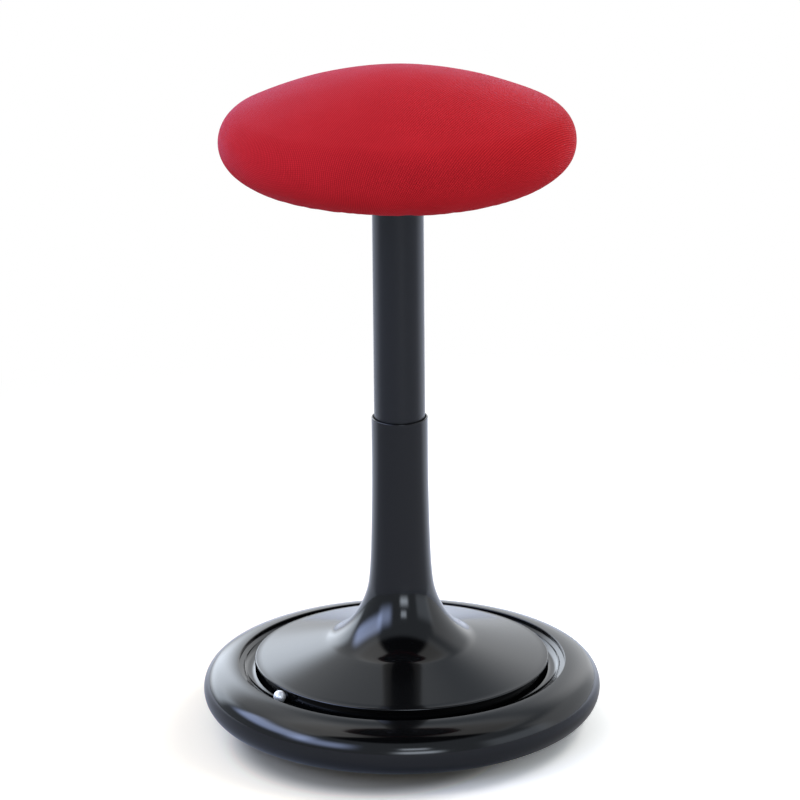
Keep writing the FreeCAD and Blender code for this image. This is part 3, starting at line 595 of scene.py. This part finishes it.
def column_outline():
    """The outer face from the rim down the flare to the dome's edge, its skirt, and back inside."""
    size = sizes()
    rim_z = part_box("column_cover")[1].z
    edge_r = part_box("column_cover")[1].x
    wall = size.column_wall
    rounding = size.rim_rounding
    bends = (LONG_BEND, SHORT_BEND, FLARE_BEND, FOOT_BEND)
    line = Outline(size.neck_radius - rounding, rim_z).turn(rounding, -90.0)
    line.run(size.neck_height - rounding)
    for radius, angle in bends:
        line.turn(radius * MM, angle)
    dome_end = (edge_r - size.dome_edge_rounding, size.dome_edge_z)
    dome, dome_angle = tangent_arc(line.end, line.heading, dome_end)
    line.turn(dome, dome_angle).face(0.0).turn(size.dome_edge_rounding, -180.0)
    low = line.end[1]
    skirt_inside = size.skirt_radius - size.skirt_wall
    line.to(size.skirt_radius, low).to(size.skirt_radius, low - size.skirt_depth)
    line.to(skirt_inside, low - size.skirt_depth)
    inner = Outline(size.neck_radius - wall, rim_z, -90.0).run(size.neck_height)
    for radius, angle in bends:
        inner.turn(radius * MM + wall, angle)
    inner.turn(dome - wall, dome_angle)
    kept = [point for point in inner.points if point[0] < skirt_inside]
    line.points += [(skirt_inside, kept[-1][1])] + kept[::-1]
    return line.to(size.neck_radius - rounding, rim_z)


class STOOL_OT_column(bpy.types.Operator):
    """Make the gloss black column with its flare and dome"""

    bl_idname = "stool.column"
    bl_label = "Column and dome"

    def execute(self, context):
        piece = turned("column", column_outline(), sizes().base_steps)
        dress(piece, "gloss_black", "base", "gloss_black", "column_cover")
        return {"FINISHED"}


def ring_skin(inset):
    """The ring from its foot round the nose and over the shoulder, set in by a wall."""
    size = sizes()
    nose_r, nose = size.nose_centre_r, size.nose_radius
    foot_z = size.nose_centre_z - nose
    steep, lip = math.sin(size.shoulder_slope), math.sin(size.lip_slope)
    shoulder = (nose_r + nose * steep - size.lip_radius) / (steep - lip)
    steep_degrees, lip_degrees = math.degrees(size.shoulder_slope), math.degrees(size.lip_slope)
    line = Outline(size.ring_foot_radius, foot_z + inset).to(nose_r, foot_z + inset)
    line.turn(nose - inset, 180.0 - steep_degrees)
    return line.turn(shoulder - inset, steep_degrees - lip_degrees)


def ring_outline():
    """The ring's skin, the lip's wall, the ball's channel, and back under both."""
    size = sizes()
    track_r, track_z, track = size.track_radius, size.track_z, size.track_section
    inner_r = size.track_inner_r
    foot = (size.ring_foot_radius, size.nose_centre_z - size.nose_radius)
    shelf = math.degrees(size.shelf_slope)
    line = ring_skin(0.0).turn(size.lip_rounding, 90.0 + math.degrees(size.lip_slope))
    line.to(line.end[0], track_z - size.shelf_drop)
    line.to(*away((track_r, track_z), track, -shelf)).face(-shelf - 90.0)
    line.turn(track, -(90.0 - shelf + math.degrees(math.asin((track_r - inner_r) / track))))
    under = track + size.ring_wall
    back = 78.0  # degrees the channel's underside climbs behind the lip
    inner_turn = math.degrees(math.asin((track_r - inner_r) / under))
    line.to(*away((track_r, track_z), under, -90.0 - inner_turn)).face(-inner_turn)
    line.turn(under, inner_turn + back)
    inside = ring_skin(size.ring_wall)
    clear_r = line.end[0] + 1.0 * MM
    clear_z = 40.0 * MM  # below this the skin's inside is kept whole
    kept = [(r, z) for r, z in inside.points if r > clear_r or z < clear_z]
    line.points += kept[::-1]
    return line.to(*foot)


class STOOL_OT_ring(bpy.types.Operator):
    """Make the gloss black base ring with the ball's track, and the ball"""

    bl_idname = "stool.ring"
    bl_label = "Ring and ball"

    def execute(self, context):
        piece = turned("ring", ring_outline(), sizes().base_steps)
        dress(piece, "gloss_black", "base", "gloss_black", "base_ring")
        low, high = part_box("track_ball")
        deselect()
        bpy.ops.mesh.primitive_uv_sphere_add(
            segments=64, ring_count=32, radius=(high.z - low.z) / 2, location=(low + high) / 2)
        ball = bpy.context.object
        ball.name = "ball"
        bpy.ops.object.transform_apply(location=True)
        smooth(ball, 60.0)
        dress(ball, "chrome_steel", "ball", "chrome_steel", "track_ball")
        return {"FINISHED"}


class STOOL_OT_stage(bpy.types.Operator):
    """Lay the pale floor, set the soft light and place the camera"""

    bl_idname = "stool.stage"
    bl_label = "Stage"

    def execute(self, context):
        deselect()
        bpy.ops.mesh.primitive_plane_add(size=FLOOR_SIZE)
        floor = bpy.context.object
        floor.name = "floor"
        floor.data.materials.append(floor_finish())
        light_studio()
        for lamp in LAMPS:
            soft_lamp(lamp)
        place_camera()
        context.scene.view_settings.view_transform = "Standard"
        return {"FINISHED"}


def floor_finish():
    """White to the camera, with the shadow that falls on it, a painted shadow pool in front and painted
    shade on the left; to the stool a pale studio floor painted darker in front and paler behind.
    """
    f = Finish("floor")
    out = f.tree.nodes["Material Output"]
    f.tree.nodes.remove(f.shader)
    c = colours()
    place = f.place()
    right, behind, _ = f.add("SeparateXYZ", Vector=place).outputs
    from_stool = f.add("VectorMath", {"operation": "LENGTH"}, i0=place).outputs["Value"]
    from_painted_pool = f.add("VectorMath", {"operation": "DISTANCE"}, i0=place, i1=PAINTED_SHADOW_POOL).outputs["Value"]
    camera = f.add("LightPath").outputs["Is Camera Ray"]
    # Painted shade: to rays other than the camera's the floor is darker in front and paler behind
    studio = f.blend(f.spread(behind, 0.0, 1.0, *FAR_FLOOR_EDGE), tuple(c.shaded_near_floor), tuple(c.lit_far_floor))
    # Painted shade: a lower gain on the left than on the right
    painted_gain = f.blend(f.spread(right, 0.0, 1.0, *GAIN_EDGE), SHADED_LEFT_GAIN, LIT_RIGHT_GAIN)
    # Painted shadow: the floor darkens in a soft pool in front of the base
    painted_gain = f.blend(f.spread(from_painted_pool, PAINTED_POOL_LEVEL, 1.0, *PAINTED_POOL_EDGE), (0.0, 0.0, 0.0), painted_gain)
    shadowed = f.add("BsdfDiffuse", Color=f.blend(camera, studio, painted_gain)).outputs[0]
    white = f.add("Emission", Strength=1.0).outputs[0]
    clear = f.math("MULTIPLY", camera, f.spread(from_stool, 0.0, 1.0, *CLEAR_EDGE))
    both = f.add("MixShader", i0=clear, i1=shadowed, i2=white).outputs[0]
    f.tree.links.new(both, out.inputs["Surface"])
    return f.material


def panel_glow(n, panel, azimuth, elevation):
    """One panel's light by direction, full inside its edges and fading over its blur."""
    turned_by = n.math("WRAP", n.math("SUBTRACT", azimuth, panel.azimuth), 180.0, -180.0)
    across = n.math("ABSOLUTE", turned_by)
    above = n.math("ABSOLUTE", n.math("SUBTRACT", elevation, panel.elevation))
    width, height, blur = panel.half_width, panel.half_height, panel.blur
    level = n.spread(across, panel.level, 0.0, width - blur, width + blur)
    level = n.math("MULTIPLY", level, n.spread(above, 1.0, 0.0, height - blur, height + blur))
    return n.add("VectorMath", {"operation": "SCALE"}, i0=panel.tint, Scale=level).outputs[0]


def light_studio():
    """The room round the stool: a dim front, soft panels of light, and white to the camera."""
    world = bpy.data.worlds.new("studio")
    bpy.context.scene.world = world
    world.use_nodes = True
    n = Nodes(world.node_tree)
    n.tree.nodes.clear()
    side = n.add("SeparateXYZ", Vector=n.add("TexCoord").outputs["Generated"]).outputs
    azimuth = n.math("DEGREES", n.math("ARCTAN2", side["X"], side["Y"]))
    elevation = n.math("DEGREES", n.math("ARCSINE", side["Z"]))
    glow = (0.0, 0.0, 0.0)
    for panel in PANELS:
        light = panel_glow(n, panel, azimuth, elevation)
        glow = n.add("VectorMath", {"operation": "ADD"}, i0=glow, i1=light).outputs[0]
    camera = n.add("LightPath").outputs["Is Camera Ray"]
    seen = n.blend(camera, glow, (1.0, 1.0, 1.0))
    surface = n.add("Background", Color=seen).outputs[0]
    n.tree.links.new(surface, n.add("OutputWorld").inputs["Surface"])


def soft_lamp(lamp):
    """A round soft lamp aimed at the seat. The gloss shows the room's panels and not this lamp."""
    bpy.ops.object.light_add(type="AREA", radius=lamp.radius, location=lamp.place)
    light = bpy.context.object
    light.name = lamp.name
    light.data.shape = "DISK"
    light.data.energy = lamp.energy
    light.rotation_euler = (LAMP_AIM - light.location).to_track_quat("-Z", "Y").to_euler()
    light.visible_glossy = False


def place_camera():
    """The photograph's long lens, looking a little down at the stool."""
    pitch, roll = math.radians(CAMERA_PITCH), math.radians(CAMERA_ROLL)
    camera = bpy.data.objects.new("camera", bpy.data.cameras.new("camera"))
    bpy.context.scene.collection.objects.link(camera)
    camera.data.lens = CAMERA_LENS
    camera.data.sensor_width = CAMERA_FILM
    camera.data.clip_end = CAMERA_REACH
    place = CAMERA_AIM + Vector((0.0, -math.cos(pitch), math.sin(pitch))) * CAMERA_DISTANCE
    look = Matrix.Rotation(math.pi / 2 - pitch, 4, "X") @ Matrix.Rotation(roll, 4, "Z")
    camera.matrix_world = Matrix.Translation(place) @ look
    bpy.context.scene.camera = camera


class STOOL_PT_pieces(bpy.types.Panel):
    """Lists the stool's pieces, sizes and colours"""

    bl_label = "Wobble stool"
    bl_idname = "STOOL_PT_pieces"
    bl_space_type = "VIEW_3D"
    bl_region_type = "UI"
    bl_category = "Stool"

    def draw(self, context):
        for step in STEPS:
            self.layout.operator(step.bl_idname)
        for group in (context.scene.stool_sizes, context.scene.stool_colours):
            for key in group.__annotations__:
                self.layout.prop(group, key)


STEPS = (
    STOOL_OT_finishes,
    STOOL_OT_cushion,
    STOOL_OT_tube,
    STOOL_OT_column,
    STOOL_OT_ring,
    STOOL_OT_stage,
)
CLASSES = (StoolSizes, StoolColours, *STEPS, STOOL_PT_pieces)


def register():
    for cls in CLASSES:
        bpy.utils.register_class(cls)
    bpy.types.Scene.stool_sizes = PointerProperty(type=StoolSizes)
    bpy.types.Scene.stool_colours = PointerProperty(type=StoolColours)


def unregister():
    del bpy.types.Scene.stool_colours
    del bpy.types.Scene.stool_sizes
    for cls in reversed(CLASSES):
        bpy.utils.unregister_class(cls)


def main():
    register()
    for step in STEPS:
        group, name = step.bl_idname.split(".")
        getattr(getattr(bpy.ops, group), name)()


if __name__ == "__main__":
    main()
